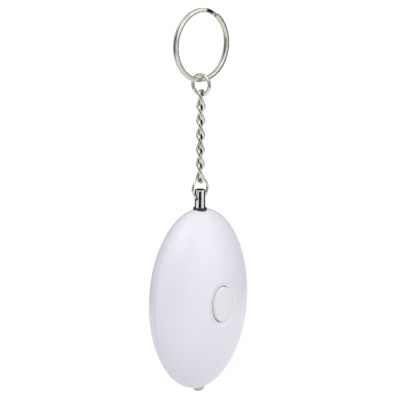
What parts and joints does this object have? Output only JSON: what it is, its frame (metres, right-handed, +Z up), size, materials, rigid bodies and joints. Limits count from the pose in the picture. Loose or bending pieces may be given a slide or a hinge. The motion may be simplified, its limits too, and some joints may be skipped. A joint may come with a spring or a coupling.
{
  "type": "personal safety alarm",
  "caption": "Oval white siren fob with a raised oval push button and bottom lamp, hung from a split key ring by a curb chain and a pull pin that sets it off.",
  "frame": {"origin": "centre of the split ring", "axes": "+Z up along the hanging chain, the case hangs at -Z; the button side faces -Y; +X to the right seen from the front"},
  "size_m": [0.042, 0.0251, 0.1368],
  "materials": {
    "nickel": "polished nickel plate",
    "chrome_pin": "polished",
    "black_plastic": "satin moulded",
    "white_shell": "satin moulded",
    "white_button": "satin moulded",
    "clear_lens": "clear epoxy",
    "tinned_wire": "tinned",
    "zinc_screw": "zinc plated",
    "board": "solder mask",
    "switch_black": "moulded",
    "ferrite": "sintered",
    "copper_wire": "enamelled",
    "black_epoxy": "moulded",
    "can_sleeve": "shrink sleeve",
    "cell_steel": "nickel steel",
    "tray_plastic": "moulded",
    "brass_plate": "rolled",
    "ceramic": "silvered",
    "red_insulation": "extruded",
    "black_insulation": "extruded"
  },
  "bodies": {
    "key_ring": {"split_ring": "nickel"},
    "upper_ring": {"upper_jump_ring": "nickel"},
    "link_1": {"chain_link_1": "nickel"},
    "link_2": {"chain_link_2": "nickel"},
    "link_3": {"chain_link_3": "nickel"},
    "link_4": {"chain_link_4": "nickel"},
    "link_5": {"chain_link_5": "nickel"},
    "link_6": {"chain_link_6": "nickel"},
    "lower_ring": {"lower_jump_ring": "nickel"},
    "pin": {"pull_pin": "chrome_pin", "pin_tip": "black_plastic"},
    "case": {"front_shell": "white_shell", "rear_shell": "white_shell", "pin_socket": "black_plastic", "torch_lamp": "clear_lens", "lamp_leads": "tinned_wire", "case_screws": "zinc_screw", "board_screws": "zinc_screw", "circuit_board": "board", "switch_body": "switch_black", "coil_core": "ferrite", "coil_winding": "copper_wire", "driver_chip": "black_epoxy", "transistor": "black_epoxy", "capacitor": "can_sleeve", "resistors": "black_epoxy", "contact_strip_left": "tinned_wire", "contact_strip_right": "tinned_wire", "button_cell_1": "cell_steel", "button_cell_2": "cell_steel", "button_cell_3": "cell_steel", "cell_tray": "tray_plastic", "negative_contact": "tinned_wire", "positive_contact": "tinned_wire", "sounder_plate": "brass_plate", "sounder_ceramic": "ceramic", "plate_wire": "black_insulation", "ceramic_wire": "red_insulation"},
    "button": {"push_button": "white_button", "switch_plunger": "switch_black"}
  },
  "joints": [
    {"name": "upper_ring_swing", "type": "hinge", "parent": "key_ring", "child": "upper_ring", "pos_m": [0, 0, -0.01175], "axis": [1, 0, 0], "range_deg": [-40, 40]},
    {"name": "link_1_swing", "type": "hinge", "parent": "upper_ring", "child": "link_1", "pos_m": [0, 0, -0.01678], "axis": [0.2079, -0.9781, 0], "range_deg": [-25, 25]},
    {"name": "link_2_swing", "type": "hinge", "parent": "link_1", "child": "link_2", "pos_m": [0, 0, -0.02062], "axis": [0.9397, 0.342, 0], "range_deg": [-25, 25]},
    {"name": "link_3_swing", "type": "hinge", "parent": "link_2", "child": "link_3", "pos_m": [0, 0, -0.02691], "axis": [-0.342, 0.9397, 0], "range_deg": [-25, 25]},
    {"name": "link_4_swing", "type": "hinge", "parent": "link_3", "child": "link_4", "pos_m": [0, 0, -0.03078], "axis": [0.9397, 0.342, 0], "range_deg": [-25, 25]},
    {"name": "link_5_swing", "type": "hinge", "parent": "link_4", "child": "link_5", "pos_m": [0, 0, -0.03707], "axis": [-0.342, 0.9397, 0], "range_deg": [-25, 25]},
    {"name": "link_6_swing", "type": "hinge", "parent": "link_5", "child": "link_6", "pos_m": [0, 0, -0.04094], "axis": [0.9397, 0.342, 0], "range_deg": [-25, 25]},
    {"name": "lower_ring_swing", "type": "hinge", "parent": "link_6", "child": "lower_ring", "pos_m": [0, 0, -0.04723], "axis": [-0.342, 0.9397, 0], "range_deg": [-25, 25]},
    {"name": "pin_swing", "type": "hinge", "parent": "lower_ring", "child": "pin", "pos_m": [0, 0, -0.05312], "axis": [1, 0, 0], "range_deg": [-20, 20]},
    {"name": "pin_pull", "type": "slide", "parent": "pin", "child": "case", "axis": [0, 0, -1], "range_m": [0, 0.0115]},
    {"name": "button_press", "type": "slide", "parent": "case", "child": "button", "axis": [0, 1, 0], "range_m": [0, 0.0004], "stiffness_N_per_m": 1500, "springref_m": -0.0005}
  ]
}
